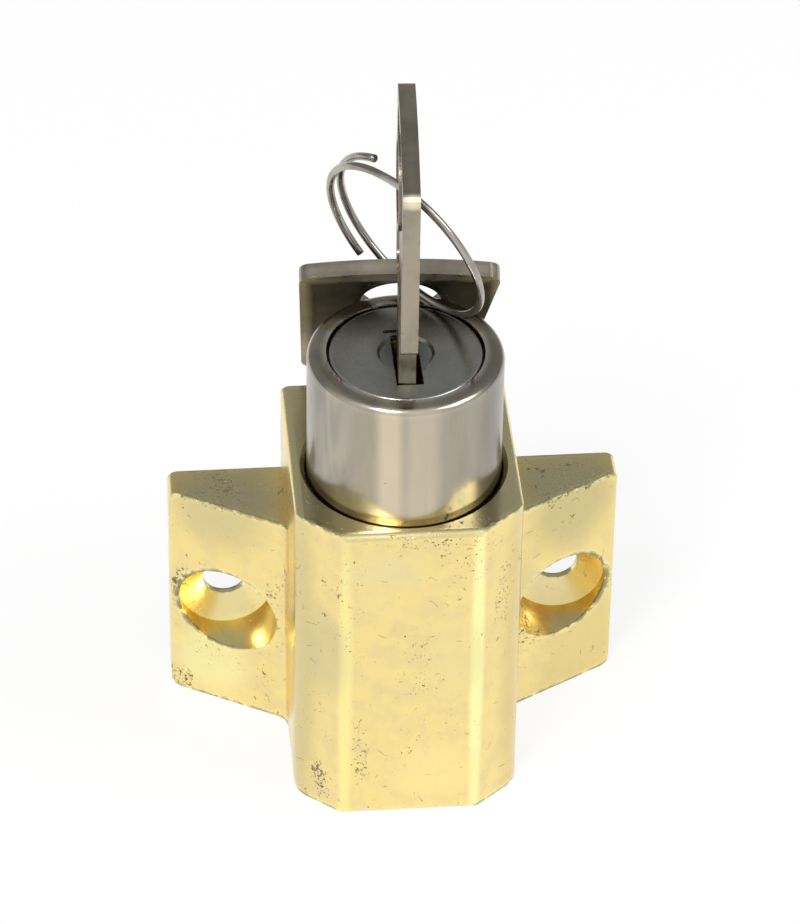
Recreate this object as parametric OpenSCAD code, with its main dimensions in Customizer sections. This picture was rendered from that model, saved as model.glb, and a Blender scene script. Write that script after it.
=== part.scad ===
// Keyed plunger bolt for a sliding panel: a cast housing with two screw ears, a round plunger
// that carries a wafer lock, a sprung bolt under it, one key in the lock and a second key on a ring.
// The plunger slides along Z, the screws run along Y and the front faces -Y.
// The origin lies midway between the two screw holes, on the back face.

/* [Housing] */
// Width of the body between its two sides
body_width = 25.8; // [25:0.1:40]
// Depth of the body, from the back face to the front face
body_depth = 27.8; // [27.4:0.1:40]
// Height of the body
body_height = 41.2; // [40:0.2:60]
// Width of the flat front face between the two slanted faces
front_flat = 15.2; // [8:0.1:20]
// Depth of the slanted faces beside the front face
slant_depth = 4.4; // [2:0.1:6]
// Radius of the two vertical edges of the flat front face
edge_radius = 1.0; // [0.4:0.1:1.5]
// Radius of the two vertical edges where the slanted faces meet the sides
side_radius = 4; // [1:0.1:5]
// Radius of the body's top edges
rim_radius = 1.0; // [0.4:0.1:1.5]
// Radius of the body's bottom edges
foot_radius = 0.5; // [0.3:0.1:1.5]
// Thickness of the floor under the plunger bore
floor_thickness = 4; // [3:0.1:7]
// Width of the bevel round the top of the plunger bore
bore_bevel = 0.5; // [0.2:0.1:0.7]
// Depth of the plunger's axis in front of the back face
axis_depth = 14.9; // [14.6:0.1:16]

/* [Ears] */
// Distance between the outer edges of the two ears
ear_span = 52.2; // [49:0.1:60]
// Height of the ears above the bottom of the housing
ear_height = 29.4; // [24:0.1:38]
// Thickness of an ear at its outer edge
ear_tip_thickness = 3.5; // [3:0.1:5]
// Thickness of an ear where it meets the body
ear_root_thickness = 10.9; // [8:0.1:12]
// Radius of the outer corners of an ear, seen from the front
ear_corner_radius = 1.2; // [0.5:0.1:3]
// Radius of an ear's outer front edge, seen from above
ear_edge_radius = 0.5; // [0.3:0.1:1.5]
// Radius of the hollow corner between an ear and the body
ear_fillet = 2; // [0.5:0.1:2.5]

/* [Screw holes] */
// Distance between the two screw holes
screw_spacing = 39.2; // [38:0.1:42]
// Height of the screw holes above the bottom of the housing
screw_height = 14; // [9:0.1:20]
// Diameter of the screw hole
screw_hole = 5.2; // [3:0.1:6]
// Diameter of the pocket for the screw head
head_pocket = 11; // [8:0.1:11.2]
// Thickness of metal at the bottom of the countersink
screw_land = 0.8; // [0.5:0.1:1.5]
// Depth from the back face to the outer edge of the countersink
countersink_top = 2.5; // [2:0.1:3]

/* [Plunger] */
// Diameter of the plunger
plunger_diameter = 22; // [21.6:0.1:22.2]
// Height of the plunger above the housing when it is out
plunger_out = 15.8; // [12:0.1:20]
// Travel of the plunger
plunger_travel = 10; // [6:0.1:10.5]
// Distance that the plunger reaches below the plug's rear end
plunger_tail = 8.05; // [7.65:0.05:8.65]
// Running clearance between the plunger and its bore, on the radius
plunger_clearance = 0.25; // [0.05:0.01:0.3]
// Radius of the plunger's top edge
plunger_edge = 0.9; // [0.3:0.1:1]
// Radius of the plug's seat in the top of the plunger
seat_radius = 8.85; // [8.8:0.01:9]
// Depth of the plug's seat
seat_depth = 2.6; // [2.4:0.1:3]

/* [Lock plug] */
// Diameter of the plug's body
plug_diameter = 15.6; // [15.4:0.1:15.8]
// Diameter of the plug's flange and of its face cap
plug_flange = 17.3; // [17:0.1:17.5]
// Thickness of the plug's flange
flange_thickness = 1.6; // [1.2:0.1:1.8]
// Thickness of the face cap
cap_thickness = 0.8; // [0.5:0.1:0.9]
// Length of the plug below its flange
plug_length = 22.8; // [22.6:0.1:23]
// Running clearance of the plug, on the radius
plug_clearance = 0.06; // [0.03:0.01:0.1]
// Angle through which the key turns
key_turn = 75; // [60:1:80]
// Distance of the drive pin from the plug's axis
drive_offset = 1.3; // [1:0.05:1.5]
// Radius of the drive pin
drive_pin_radius = 1.1; // [0.8:0.05:1.2]

/* [Wafers] */
// Number of wafers that the lock has
wafer_count = 5; // [5:1:5]
// Distance between wafers
wafer_pitch = 3; // [2.9:0.05:3.1]
// Thickness of a wafer
wafer_thickness = 1.2; // [0.8:0.1:1.4]
// Width of a wafer
wafer_width = 5.6; // [5:0.1:6]
// Distance that a wafer springs out when the key leaves
wafer_throw = 0.7; // [0.4:0.05:0.8]
// Radius of a wafer's spring
wafer_spring_radius = 0.7; // [0.4:0.05:0.75]

/* [Latch and bolt] */
// Thickness of the latch plate
latch_thickness = 3; // [2.4:0.1:3.2]
// Width of the latch plate
latch_width = 7; // [6:0.1:8]
// Diameter of the bolt
bolt_diameter = 9.5; // [8:0.1:11]
// Depth of the bolt's tip inside the bottom of the housing when it is drawn
bolt_recess = 0.6; // [0.1:0.1:2]
// Diameter of the guide pin
guide_pin_diameter = 3; // [2:0.1:3.2]
// Depth of the guide pin below the top of the housing
guide_pin_drop = 3.2; // [3:0.1:3.4]
// Diameter of the cross pin through the plunger, the carrier and the bolt
cross_pin_diameter = 2.2; // [1.5:0.1:2.6]
// Wire diameter of the return spring
spring_wire = 1.2; // [0.8:0.1:1.4]
// Turns of the return spring
spring_turns = 5.5; // [4:0.5:6]
// Outer diameter of the return spring
spring_diameter = 16; // [14:0.1:20]

/* [Keys] */
// Width of a key's bow
bow_width = 22.8; // [20:0.1:23.5]
// Height of a key's bow, from its shoulder to the middle of its top edge
bow_height = 22.4; // [21:0.1:23]
// Rise of the bow's arched top edge
bow_arch = 0.9; // [0.2:0.05:1.2]
// Amount by which one side of the bow leans in towards the blade
bow_taper = 4; // [0:0.1:4.5]
// Distance from the plug's axis back to the middle of the bow
bow_offset = 0.95; // [0.5:0.05:1.2]
// Thickness of a key
key_thickness = 1.9; // [1.6:0.05:2]
// Diameter of the hole in a key's bow
bow_hole = 9.2; // [9:0.1:9.6]
// Distance from the bow's top to the middle of its hole
bow_hole_drop = 6.8; // [6.6:0.1:7]
// Height of the inserted key's shoulder above the plug's face
key_neck = 6.9; // [5:0.05:9]
// Angle by which the inserted key is turned in the play of its keyway
key_twist = 3.5; // [0:0.5:3.5]
// Distance of the blade's tip from the plug's rear end
blade_stop = 4.1; // [4.05:0.05:8]
// Distance from the plug's axis to the cut edge of the blade
blade_front = 5.8; // [5:0.1:5.9]
// Distance from the plug's axis to the plain edge of the blade
blade_back = 3; // [2:0.1:3.2]
// Depth of the five cuts in the blade's edge
cut_depths = [1.1, 1.9, 0.8, 2.2, 1.5];

/* [Key ring] */
// Mean radius of the ring
ring_radius = 10.85; // [10.6:0.05:11]
// Diameter of the ring's wire
ring_wire = 0.9; // [0.7:0.05:1]
// Distance between the two strands where the ring's ends overlap
ring_pitch = 1.64; // [1.5:0.01:1.8]
// Angle at which the wire starts, in the ring's own plane
ring_start = 50; // [40:1:60]
// Angle that the wire goes through in all
ring_sweep = 473; // [440:1:480]

/* [Hidden] */

// Smoothness of the round surfaces
$fn = 64;
// Gap between parts that are fitted together and don't move
fit_gap = 0.02;
// Gap between flat parts that slide past each other
slide_gap = 0.1;
// Depth by which a cutting shape runs past the surface that it cuts
cut_over = 1;
// The same where a bevel must keep its width
tiny = 0.01;

brass = [0.86, 0.76, 0.43];
nickel = [0.66, 0.65, 0.63];
steel = [0.55, 0.56, 0.58];
satin_steel = [0.47, 0.48, 0.49];
key_metal = [0.55, 0.53, 0.48];

// Heights above the bottom of the housing
plunger_top = body_height + plunger_out;
seat_floor = plunger_top - seat_depth;
flange_foot = seat_floor + slide_gap / 2;
flange_top = flange_foot + flange_thickness;
cap_top = flange_top + cap_thickness;
plug_foot = flange_foot - plug_length;
plunger_foot = plug_foot - plunger_tail;
plunger_length = plunger_top - plunger_foot;
key_shoulder = cap_top + key_neck;
blade_tip = plug_foot + blade_stop;
blade_length = key_shoulder - blade_tip;

// Radii measured from the plunger's axis
plunger_radius = plunger_diameter / 2;
bore_radius = plunger_radius + plunger_clearance;
plug_radius = plug_diameter / 2;
plug_bore_radius = plug_radius + plug_clearance;
flange_radius = plug_flange / 2;
bolt_radius = bolt_diameter / 2;

// The plug's rear end with its clip, inside a chamber that the carrier closes from below
chamber_radius = 9.3;
carrier_radius = chamber_radius - fit_gap;
clip_thickness = 0.8;
clip_land = 0.55;
clip_play = 0.25;
clip_radius = chamber_radius - 0.4;
clip_inner_radius = 6.4;
clip_opening = 5;
clip_groove = clip_thickness + slide_gap;
clip_foot = plug_foot + clip_land;
chamber_top = clip_foot + clip_thickness + clip_play;
carrier_top = plug_foot - clip_play;

// The latch, its drive and its catches in the bore
half_turn = key_turn / 2;
latch_throw = 2 * drive_offset * sin(half_turn);
drive_angle = 180 + half_turn;
drive_x = drive_offset * cos(drive_angle);
drive_y = drive_offset * sin(drive_angle);
drive_pin_depth = 4;
latch_top = carrier_top - slide_gap;
latch_foot = latch_top - latch_thickness;
latch_tip_radius = plunger_radius - 0.15;
latch_back = 5;
catch_radius = latch_tip_radius + latch_throw + 0.3;
catch_gap = 0.3;

// The bolt's socket in the carrier
socket_depth = 3.8;
bolt_top = plunger_foot + socket_depth - fit_gap;
cross_pin_height = plunger_foot + socket_depth / 2;
cross_pin_length = 2 * plunger_radius - 0.6;
bolt_hole_radius = bolt_radius + 0.1;
bolt_chamfer = 0.8;

// The guide pin's slot in the plunger's back
guide_radius = guide_pin_diameter / 2;
guide_slot_depth = 1.3;
guide_tip_radius = plunger_radius - guide_slot_depth + slide_gap;
guide_pin_sink = 0.2;
guide_pin_height = body_height - guide_pin_drop;
guide_slot_low = guide_pin_height - guide_radius - slide_gap;
guide_slot_high = guide_pin_height + plunger_travel + guide_radius + slide_gap;

// Wafers, counted from the face down, and the channels that they spring into
keyway_half = 1.5;
wafer_top = seat_floor - 2.8;
wafer_end_radius = plug_radius - 0.06;
wafer_slot = wafer_thickness + 0.12;
channel_radius = wafer_end_radius + wafer_throw + 0.2;
channel_width = wafer_width + 0.8;
channel_foot = wafer_height(wafer_count) - wafer_slot;
window_half = keyway_half;
window_front = blade_front + wafer_throw + 0.15;
window_back = blade_back + 0.15;
lug_reach = 1.6;
lug_back = 0.2;
lug_front = 1.2;
spring_pocket_front = 4.9;
spring_pocket_radius = wafer_spring_radius + 0.12;
spring_pocket_x = wafer_width / 2 + lug_reach / 2;
wafer_spring_wall = 0.25;

// The keyway
keyway_front = blade_front + 0.15;
keyway_back = blade_back + 0.15;
ward_slot = [1.6, 0.5];
ward_place = [-1.4, 3.6];
dimple_radius = 3.2;
dimple_depth = 0.3;

// The key's shape
bow_corner = 1.4;
corner_steps = 8;
arch_steps = 12;
bow_edge_top = bow_hole_drop - bow_arch;
bow_foot = bow_hole_drop - bow_height;
arch_half = bow_width / 2 - bow_corner;
arch_radius = (arch_half * arch_half + bow_arch * bow_arch) / (2 * bow_arch);
blade_end = bow_foot - blade_length;
blade_point = 2.6;
blade_groove_depth = 0.35;
blade_groove_width = 1.8;
blade_groove_place = 0.7;
recess_depth = 0.25;
recess_border = 1.7;
collar_radius = bow_hole / 2 + 0.8;
collar_height = 0.25;
cut_flat = 0.6;

// Where the keys and the ring lie
key_hole_height = key_shoulder - bow_foot;
spare_key_side = 0.5;
spare_key_depth = 2.75;
spare_key_drop = 1.35;
spare_key_place = [spare_key_side, -spare_key_depth, plunger_top - spare_key_drop];
spare_key_turn = [25, -0.9, -4.2];
ring_side = 0.57;
ring_depth = 8.78;
ring_rise = 10.93;
ring_place = [ring_side, -ring_depth, plunger_top + ring_rise];
ring_tilt = 72.45;
ring_bearing = 40.3;
ring_steps = 24;
ring_sides = 6;
spring_steps = 16;
spring_sides = 6;
spring_mean_radius = (spring_diameter - spring_wire) / 2;
spring_foot = floor_thickness + spring_wire / 2 + slide_gap;
spring_head = plunger_foot - spring_wire / 2 - slide_gap;

function unit(v) = v / norm(v);
function half_angle(a, p, b) = acos(unit(a - p) * unit(b - p)) / 2;
function arc_centre(a, p, b, r) = p + unit(unit(a - p) + unit(b - p)) * r / sin(half_angle(a, p, b));
function tangent_to(end, p, r, half) = p + unit(end - p) * r / tan(half);
function corner_points(a, p, b, r) = r == 0 ? [p]
    : [tangent_to(a, p, r, half_angle(a, p, b)), tangent_to(b, p, r, half_angle(a, p, b))];
function turned(v, angle) = [v[0] * cos(angle) - v[1] * sin(angle), v[0] * sin(angle) + v[1] * cos(angle)];
function arc_points(a, p, b, r) = let (half = half_angle(a, p, b), centre = arc_centre(a, p, b, r),
    first = tangent_to(a, p, r, half) - centre, way = sign(cross(p - a, b - p)))
    [for (i = [0:corner_steps]) centre + turned(first, way * (180 - 2 * half) * i / corner_steps)];
function wafer_height(index) = wafer_top - (index - 1) * wafer_pitch;
function steps_for(steps_a_turn, sweep) = ceil(steps_a_turn * sweep / 360);

// Moves what is drawn from the bottom of the housing to the origin between the screw holes
module from_base() {
    translate([0, 0, -screw_height]) children();
}

// Moves what is drawn on the plunger's axis to its place in the housing
module on_axis(height) {
    from_base() translate([0, -axis_depth, height]) children();
}

// A convex outline whose corners are rounded by true arcs; a radius of zero leaves a sharp corner
module rounded_outline(points, radii) {
    n = len(points);
    polygon([for (i = [0:n - 1])
        each corner_points(points[(i + n - 1) % n], points[i], points[(i + 1) % n], radii[i])]);
    for (i = [0:n - 1])
        if (radii[i] > 0)
            translate(arc_centre(points[(i + n - 1) % n], points[i], points[(i + 1) % n], radii[i]))
                circle(r = radii[i]);
}

// Stands an outline that was drawn in X and Z up along Y, from y0 back to y1
module along_y(y0, y1) {
    translate([0, y1, 0]) rotate([90, 0, 0]) linear_extrude(y1 - y0) children();
}

// The middle of a wire wound about Z, one point a step
function wound_line(mean_r, start, sweep, z0, z1, steps) =
    [for (i = [0:steps]) let (t = start + sweep * i / steps)
        [mean_r * cos(t), mean_r * sin(t), z0 + (z1 - z0) * i / steps]];

// The least distance between the points of a line that lie at least half a turn apart
function least_gap(line, apart) = min([for (i = [0:len(line) - 1 - apart], j = [i + apart:len(line) - 1])
    norm(line[i] - line[j])]);

// A round wire wound about Z, swept as one closed tube of triangles
module wound_wire(mean_r, wire_r, start, sweep, z0, z1, steps_a_turn, sides) {
    steps = steps_for(steps_a_turn, sweep);
    rings = [for (i = [0:steps]) let (t = start + sweep * i / steps, z = z0 + (z1 - z0) * i / steps)
        for (k = [0:sides - 1]) let (a = 360 * k / sides, r = mean_r + wire_r * cos(a))
            [r * cos(t), r * sin(t), z + wire_r * sin(a)]];
    walls = [for (i = [0:steps - 1], k = [0:sides - 1])
        let (a = i * sides + k, b = i * sides + (k + 1) % sides)
            each [[a, b + sides, a + sides], [a, b, b + sides]]];
    first = [for (k = [1:sides - 2]) [0, k + 1, k]];
    last = [for (k = [1:sides - 2]) [steps * sides, steps * sides + k, steps * sides + k + 1]];
    polyhedron(points = rings, faces = concat(walls, first, last), convexity = 10);
}

module body_solid() {
    intersection() {
        linear_extrude(body_height)
            rounded_outline(
                [[-body_width / 2, 0], [-body_width / 2, slant_depth - body_depth],
                 [-front_flat / 2, -body_depth], [front_flat / 2, -body_depth],
                 [body_width / 2, slant_depth - body_depth], [body_width / 2, 0]],
                [0, side_radius, edge_radius, edge_radius, side_radius, 0]);
        along_y(-body_depth - cut_over, cut_over)
            rounded_outline([[-body_width / 2, 0], [body_width / 2, 0], [body_width / 2, body_height],
                [-body_width / 2, body_height]], [foot_radius, foot_radius, rim_radius, rim_radius]);
        rotate([0, 0, 90]) along_y(-body_width, body_width)
            rounded_outline([[-body_depth, 0], [0, 0], [0, body_height], [-body_depth, body_height]],
                [foot_radius, 0, 0, rim_radius]);
    }
}

// The ear on the +X side; the other one mirrors it
module ear() {
    root = [body_width / 2, -ear_root_thickness];
    tip = [ear_span / 2, -ear_tip_thickness];
    down = [root[0], -body_depth];
    half = half_angle(tip, root, down);
    fillet_centre = arc_centre(tip, root, down, ear_fillet);
    on_slope = tangent_to(tip, root, ear_fillet, half);
    on_side = tangent_to(down, root, ear_fillet, half);
    sunk = [slide_gap, 0];
    intersection() {
        linear_extrude(ear_height)
            rounded_outline([[0, 0], [0, -ear_root_thickness], root, tip, [ear_span / 2, 0]],
                [0, 0, 0, ear_edge_radius, 0]);
        along_y(-ear_root_thickness - cut_over, cut_over)
            rounded_outline([[0, 0], [ear_span / 2, 0], [ear_span / 2, ear_height], [0, ear_height]],
                [0, ear_corner_radius, ear_corner_radius, 0]);
    }
    linear_extrude(ear_height)
        difference() {
            polygon([root - sunk, on_slope, fillet_centre, on_side, on_side - sunk]);
            translate(fillet_centre) circle(r = ear_fillet);
        }
}

// A stepped hole along Y: the screw's shank, the cone for its head and the pocket in front
module screw_opening() {
    deep = ear_root_thickness + cut_over;
    rotate([90, 0, 0]) {
        translate([0, 0, -cut_over]) cylinder(r = screw_hole / 2, h = deep);
        translate([0, 0, screw_land])
            cylinder(r1 = screw_hole / 2, r2 = head_pocket / 2, h = countersink_top - screw_land);
        translate([0, 0, countersink_top]) cylinder(r = head_pocket / 2, h = deep);
    }
}

// A pocket in the wall of the bore for the latch's tip
module catch_pocket(lift) {
    intersection() {
        translate([-latch_width / 2 - catch_gap, 0, latch_foot - catch_gap + lift])
            cube([latch_width + 2 * catch_gap, catch_radius + cut_over, latch_thickness + 2 * catch_gap]);
        cylinder(r = catch_radius, h = body_height);
    }
}

module housing() {
    color(brass) from_base() difference() {
        union() {
            body_solid();
            ear();
            mirror([1, 0, 0]) ear();
        }
        for (side = [-1, 1])
            translate([side * screw_spacing / 2, 0, screw_height]) screw_opening();
        translate([0, -axis_depth, 0]) {
            translate([0, 0, floor_thickness]) cylinder(r = bore_radius, h = body_height);
            translate([0, 0, -cut_over]) cylinder(r = bolt_hole_radius, h = body_height);
            translate([0, 0, body_height - bore_bevel])
                cylinder(r1 = bore_radius, r2 = bore_radius + bore_bevel + tiny, h = bore_bevel + tiny);
            catch_pocket(0);
            catch_pocket(-plunger_travel);
        }
        translate([0, cut_over, guide_pin_height])
            rotate([90, 0, 0]) cylinder(r = guide_radius + fit_gap, h = axis_depth);
    }
}

module guide_pin() {
    color(steel) from_base() translate([0, -guide_pin_sink, guide_pin_height])
        rotate([90, 0, 0]) cylinder(r = guide_radius, h = axis_depth - guide_tip_radius - guide_pin_sink);
}

// The plunger's outside: a cylinder whose top edge is rounded
module plunger_solid() {
    rotate_extrude() {
        square([plunger_radius, plunger_length - plunger_edge]);
        square([plunger_radius - plunger_edge, plunger_length]);
        translate([plunger_radius - plunger_edge, plunger_length - plunger_edge]) circle(r = plunger_edge);
    }
}

// The room that a plate of a given width slides in, open towards +Y
module slot_block(width, depth, height) {
    translate([-width / 2 - slide_gap, 0, 0]) cube([width + 2 * slide_gap, depth, height]);
}

// A channel beside the plug, at an angle from +Y, that wafers spring into
module wafer_channel(turn) {
    rotate([0, 0, turn]) intersection() {
        translate([-channel_width / 2, 0, channel_foot - plunger_foot])
            cube([channel_width, channel_radius + cut_over, seat_floor - channel_foot + slide_gap]);
        cylinder(r = channel_radius, h = plunger_length);
    }
}

module plunger() {
    color(nickel) on_axis(plunger_foot) difference() {
        plunger_solid();
        translate([0, 0, seat_floor - plunger_foot]) cylinder(r = seat_radius, h = plunger_length);
        translate([0, 0, -cut_over]) cylinder(r = plug_bore_radius, h = plunger_length);
        translate([0, 0, -cut_over]) cylinder(r = chamber_radius, h = chamber_top - plunger_foot + cut_over);
        wafer_channel(0);
        wafer_channel(-key_turn);
        translate([0, 0, latch_foot - slide_gap - plunger_foot])
            slot_block(latch_width, plunger_radius + cut_over, latch_thickness + 2 * slide_gap);
        translate([0, 0, cross_pin_height - plunger_foot]) rotate([0, 90, 0])
            cylinder(r = cross_pin_diameter / 2 + fit_gap, h = 3 * plunger_radius, center = true);
        translate([0, plunger_radius, 0]) guide_slot();
    }
}

// The slot that the guide pin runs in, with round ends
module guide_slot() {
    half = guide_radius + slide_gap;
    low = guide_slot_low + half - plunger_foot;
    high = guide_slot_high - half - plunger_foot;
    for (z = [low, high])
        translate([0, cut_over, z]) rotate([90, 0, 0]) cylinder(r = half, h = guide_slot_depth + cut_over);
    translate([-half, -guide_slot_depth, low]) cube([2 * half, guide_slot_depth + cut_over, high - low]);
}

module bolt_carrier() {
    color(steel) on_axis(plunger_foot) difference() {
        cylinder(r = carrier_radius, h = carrier_top - plunger_foot);
        translate([0, 0, -cut_over]) cylinder(r = bolt_radius + fit_gap, h = socket_depth + cut_over);
        translate([0, -latch_back - slide_gap, latch_foot - slide_gap - plunger_foot])
            slot_block(latch_width, 3 * plunger_radius, plunger_length);
        translate([0, 0, cross_pin_height - plunger_foot]) rotate([0, 90, 0])
            cylinder(r = cross_pin_diameter / 2 + fit_gap, h = 3 * plunger_radius, center = true);
    }
}

module bolt() {
    shank = bolt_top - bolt_recess;
    color(steel) on_axis(bolt_recess) difference() {
        union() {
            cylinder(r1 = bolt_radius - bolt_chamfer, r2 = bolt_radius, h = bolt_chamfer);
            translate([0, 0, bolt_chamfer]) cylinder(r = bolt_radius, h = shank - bolt_chamfer);
        }
        translate([0, 0, cross_pin_height - bolt_recess]) rotate([0, 90, 0])
            cylinder(r = cross_pin_diameter / 2 + fit_gap, h = 3 * plunger_radius, center = true);
    }
}

module cross_pin() {
    color(nickel) on_axis(cross_pin_height) rotate([0, 90, 0])
        cylinder(r = cross_pin_diameter / 2, h = cross_pin_length, center = true);
}

module return_spring() {
    color(steel) on_axis(0)
        wound_wire(spring_mean_radius, spring_wire / 2, 0, 360 * spring_turns, spring_foot, spring_head,
            spring_steps, spring_sides);
}

// The slot through the plug for one wafer, with room for its lug and its spring
module wafer_opening(height) {
    lug_room = [wafer_width / 2 + lug_reach + slide_gap, lug_front + lug_back + wafer_throw + 3 * slide_gap];
    translate([0, -2 * plug_radius, height - wafer_slot / 2])
        slot_block(wafer_width, 4 * plug_radius, wafer_slot);
    translate([0, -lug_front - slide_gap, height - wafer_slot / 2])
        cube([lug_room[0], lug_room[1], wafer_slot]);
    translate([spring_pocket_x, -lug_front, height]) rotate([90, 0, 0])
        cylinder(r = spring_pocket_radius, h = spring_pocket_front - lug_front);
}

module lock_plug() {
    color(brass) on_axis(0) difference() {
        union() {
            translate([0, 0, flange_foot]) cylinder(r = flange_radius, h = flange_thickness);
            translate([0, 0, plug_foot]) cylinder(r = plug_radius, h = plug_length + slide_gap);
        }
        translate([-keyway_half, -keyway_front, blade_tip - slide_gap])
            cube([2 * keyway_half, keyway_front + keyway_back, plunger_top]);
        for (index = [1:wafer_count]) wafer_opening(wafer_height(index));
        translate([0, 0, clip_foot - slide_gap / 2]) difference() {
            cylinder(r = 2 * plug_radius, h = clip_groove);
            translate([0, 0, -cut_over])
                cylinder(r = clip_inner_radius - slide_gap, h = clip_groove + 2 * cut_over);
        }
        translate([drive_x, drive_y, plug_foot - cut_over])
            cylinder(r = drive_pin_radius + fit_gap, h = drive_pin_depth + cut_over);
    }
}

module plug_face_cap() {
    edge = cap_thickness / 2;
    color(satin_steel) on_axis(flange_top) difference() {
        rotate_extrude() {
            square([flange_radius - edge, cap_thickness]);
            square([flange_radius, cap_thickness - edge]);
            translate([flange_radius - edge, cap_thickness - edge]) circle(r = edge);
        }
        translate([-keyway_half, -keyway_front, -cut_over])
            cube([2 * keyway_half, keyway_front + keyway_back, 3 * cut_over]);
        translate([ward_place[0] - ward_slot[0] / 2, ward_place[1], -cut_over])
            cube([ward_slot[0], ward_slot[1], 3 * cut_over]);
        translate([0, 0, cap_thickness - dimple_depth])
            cylinder(r1 = dimple_radius - dimple_depth, r2 = dimple_radius + tiny, h = dimple_depth + tiny);
    }
}

module retaining_clip() {
    color(steel) on_axis(clip_foot) difference() {
        cylinder(r = clip_radius, h = clip_thickness);
        translate([0, 0, -cut_over]) cylinder(r = clip_inner_radius, h = 3 * cut_over);
        translate([-clip_opening, -2 * clip_radius, -cut_over])
            cube([2 * clip_opening, 2 * clip_radius, 3 * cut_over]);
    }
}

module drive_pin() {
    foot = latch_foot + slide_gap;
    color(steel) on_axis(foot) translate([drive_x, drive_y, 0])
        cylinder(r = drive_pin_radius, h = plug_foot + drive_pin_depth - foot - fit_gap);
}

module latch_slider() {
    color(nickel) on_axis(latch_foot) difference() {
        intersection() {
            translate([-latch_width / 2, -latch_back, 0])
                cube([latch_width, latch_back + plunger_radius, latch_thickness]);
            cylinder(r = latch_tip_radius, h = latch_thickness);
        }
        drive_window();
    }
}

// The slot across the latch that the drive pin pushes in
module drive_window() {
    half = drive_pin_radius + 0.06;
    left = -drive_offset;
    right = drive_x;
    for (x = [left, right])
        translate([x, drive_y, -cut_over]) cylinder(r = half, h = latch_thickness + 2 * cut_over);
    translate([left, drive_y - half, -cut_over])
        cube([right - left, 2 * half, latch_thickness + 2 * cut_over]);
}

module wafer(index) {
    color(brass) on_axis(wafer_height(index) - wafer_thickness / 2) difference() {
        union() {
            intersection() {
                cylinder(r = wafer_end_radius, h = wafer_thickness);
                translate([-wafer_width / 2, -plug_radius, 0])
                    cube([wafer_width, 2 * plug_radius, wafer_thickness]);
            }
            translate([0, -lug_front, 0])
                cube([wafer_width / 2 + lug_reach, lug_front + lug_back, wafer_thickness]);
        }
        translate([-window_half, -window_front, -cut_over])
            cube([2 * window_half, window_front + window_back, 3 * cut_over]);
    }
}

module wafer_spring(index) {
    length = spring_pocket_front - lug_front - 2 * slide_gap;
    color(steel) on_axis(wafer_height(index))
        translate([spring_pocket_x, -lug_front - slide_gap, 0]) rotate([90, 0, 0]) difference() {
            cylinder(r = wafer_spring_radius, h = length);
            translate([0, 0, -cut_over])
                cylinder(r = wafer_spring_radius - wafer_spring_wall, h = length + 2 * cut_over);
        }
}

// The bow's outline, with the middle of its hole at the origin; a margin above zero draws it smaller
module bow_outline(margin) {
    low = bow_foot + margin;
    high = bow_edge_top - margin;
    left = margin - bow_width / 2;
    right = bow_width / 2 - margin;
    corners = [[left, low], [right - bow_taper, low], [right, high], [left, high]];
    arch = [for (i = [1:arch_steps - 1]) let (x = arch_half * (1 - 2 * i / arch_steps))
        [x, high + bow_arch - arch_radius + sqrt(arch_radius * arch_radius - x * x)]];
    polygon(concat(
        arc_points(corners[3], corners[0], corners[1], bow_corner),
        arc_points(corners[0], corners[1], corners[2], bow_corner),
        arc_points(corners[1], corners[2], corners[3], bow_corner),
        arch,
        arc_points(corners[2], corners[3], corners[0], bow_corner)));
}

// The sunk field on a bow's flat side, with a plain round land left about the hole
module ringed_recess() {
    difference() {
        bow_outline(recess_border);
        circle(r = collar_radius);
    }
}

// The blade's outline below the bow, with its cuts in the edge that faces -X
module blade_outline() {
    translate([-bow_offset, 0]) difference() {
        polygon([[-blade_front, bow_foot + bow_corner], [-blade_front, blade_end + blade_point],
            [blade_point - blade_front, blade_end], [blade_back - blade_point / 2, blade_end],
            [blade_back, blade_end + blade_point / 2], [blade_back, bow_foot + bow_corner]]);
        for (index = [1:wafer_count]) {
            place = wafer_height(index) - key_hole_height;
            depth = cut_depths[index - 1];
            polygon([[-blade_front - cut_over, place + depth + cut_over + cut_flat / 2],
                [-blade_front + depth, place + cut_flat / 2], [-blade_front + depth, place - cut_flat / 2],
                [-blade_front - cut_over, place - depth - cut_over - cut_flat / 2]]);
        }
    }
}

// A key in its own frame: X across the bow, Z up the key and Y through its thickness
module key() {
    half = key_thickness / 2;
    difference() {
        union() {
            difference() {
                along_y(-half, half) {
                    bow_outline(0);
                    blade_outline();
                }
                along_y(half - recess_depth, half + cut_over) bow_outline(recess_border);
                along_y(-half - cut_over, recess_depth - half) ringed_recess();
            }
            along_y(0, half + collar_height) circle(r = collar_radius);
        }
        along_y(-half - cut_over, half + collar_height + cut_over) circle(r = bow_hole / 2);
        for (side = [-1, 1])
            translate([blade_groove_place - bow_offset, side * half, (blade_end + bow_foot) / 2 - cut_over])
                cube([blade_groove_width, 2 * blade_groove_depth, blade_length], center = true);
    }
}

module inserted_key() {
    color(key_metal) on_axis(key_hole_height) rotate([0, 0, 90 - key_twist])
        translate([bow_offset, 0, 0]) key();
}

module spare_key() {
    color(key_metal) from_base() translate(spare_key_place) rotate(spare_key_turn) key();
}

module key_ring() {
    rise = ring_pitch * ring_sweep / 360;
    color(nickel) from_base() translate(ring_place) rotate([0, ring_tilt, ring_bearing])
        wound_wire(ring_radius, ring_wire / 2, ring_start, ring_sweep, -rise / 2, rise / 2,
            ring_steps, ring_sides);
    line = wound_line(ring_radius, ring_start, ring_sweep, -rise / 2, rise / 2, ring_sweep);
    echo(ring_gap_to_itself = least_gap(line, 180) - ring_wire);
}

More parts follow.
